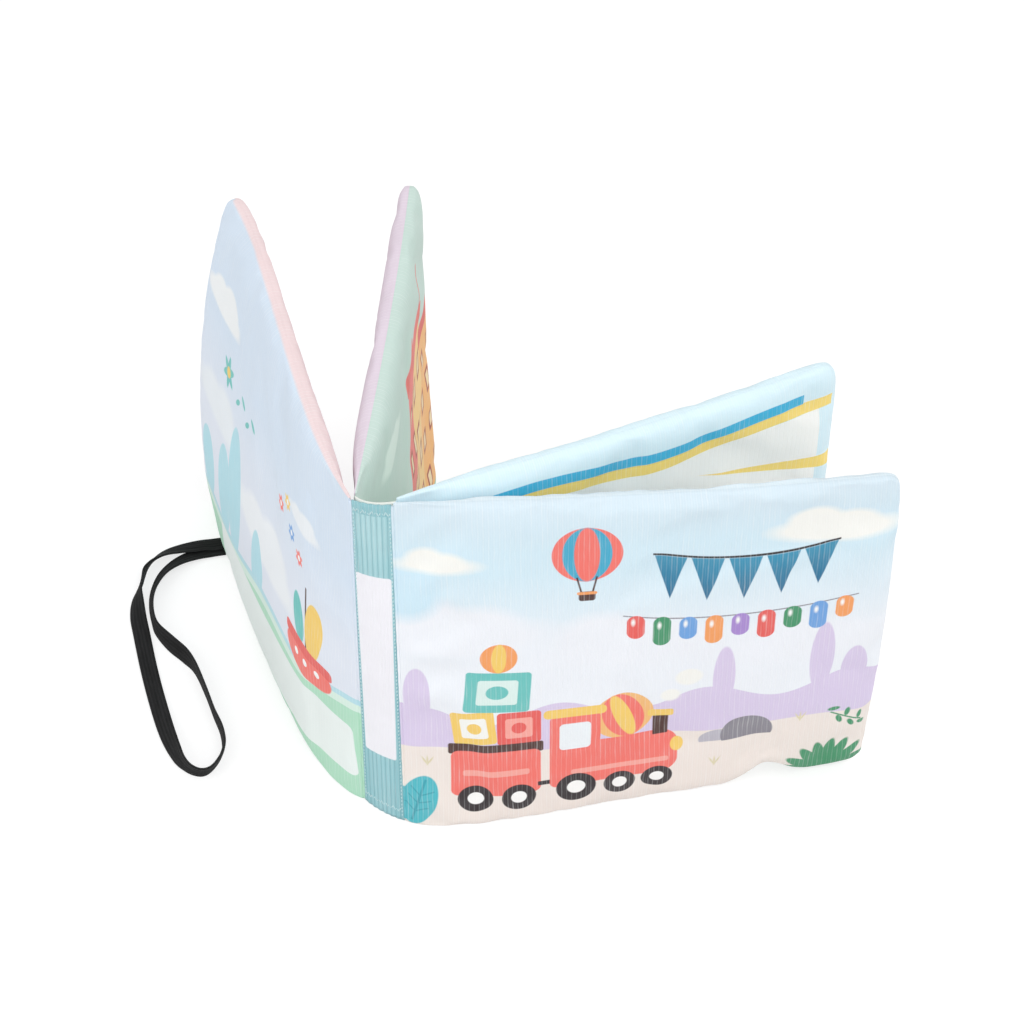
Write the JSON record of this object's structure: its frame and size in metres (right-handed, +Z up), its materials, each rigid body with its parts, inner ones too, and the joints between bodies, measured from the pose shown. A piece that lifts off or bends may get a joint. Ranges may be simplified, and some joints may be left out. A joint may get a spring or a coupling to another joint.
{
  "type": "crinkle cloth book",
  "caption": "Soft cloth baby book with padded crinkle leaves on a fabric spine and an elastic loop, standing open.",
  "frame": {"origin": "middle of the foot of the spine's outer strip, on the surface the book stands on", "axes": "+Z up along the fold lines, +X to the fore edge of the front cover, +Y away from a viewer facing the front cover"},
  "size_m": [0.2978, 0.1976, 0.162],
  "materials": {
    "cover_print": "printed ribbed fabric",
    "lining_pink": "printed ribbed fabric",
    "page_lilac": "printed ribbed fabric",
    "page_mint": "printed ribbed fabric",
    "page_blue": "printed ribbed fabric",
    "spine_teal": "ribbed fabric",
    "batting": "soft wadding",
    "crinkle_film": "thin crinkled film",
    "elastic_black": "woven elastic"
  },
  "bodies": {
    "spine": {"spine_cover_strip": "spine_teal", "gutter_strip": "page_mint"},
    "back_cover": {"back_cover_outer_panel": "cover_print", "back_cover_inner_panel": "lining_pink", "back_cover_crinkle_film": "crinkle_film", "back_cover_batting": "batting", "elastic_loop": "elastic_black"},
    "left_page": {"left_page_left_panel": "page_lilac", "left_page_right_panel": "page_mint", "left_page_crinkle_film": "crinkle_film", "left_page_batting": "batting"},
    "right_page": {"right_page_left_panel": "page_mint", "right_page_right_panel": "page_blue", "right_page_crinkle_film": "crinkle_film", "right_page_batting": "batting"},
    "front_cover": {"front_cover_inner_panel": "page_blue", "front_cover_outer_panel": "cover_print", "front_cover_crinkle_film": "crinkle_film", "front_cover_batting": "batting"}
  },
  "joints": [
    {"name": "back_cover_fold", "type": "hinge", "parent": "spine", "child": "back_cover", "pos_m": [-0.00753, 0.00643, 0], "axis": [0, 0, 1], "range_deg": [-4, 55]},
    {"name": "left_page_fold", "type": "hinge", "parent": "spine", "child": "left_page", "pos_m": [-0.00515, 0.00776, 0], "axis": [-0.0046, 0.0053, 1], "range_deg": [-28, 3]},
    {"name": "right_page_fold", "type": "hinge", "parent": "spine", "child": "right_page", "pos_m": [0.01072, -0.00323, 0], "axis": [-0.0134, 0.0562, 0.9983], "range_deg": [-2, 16]},
    {"name": "front_cover_fold", "type": "hinge", "parent": "spine", "child": "front_cover", "pos_m": [0.00867, -0.00479, 0], "axis": [-0.0084, 0.0518, 0.9986], "range_deg": [-75, 3]}
  ]
}
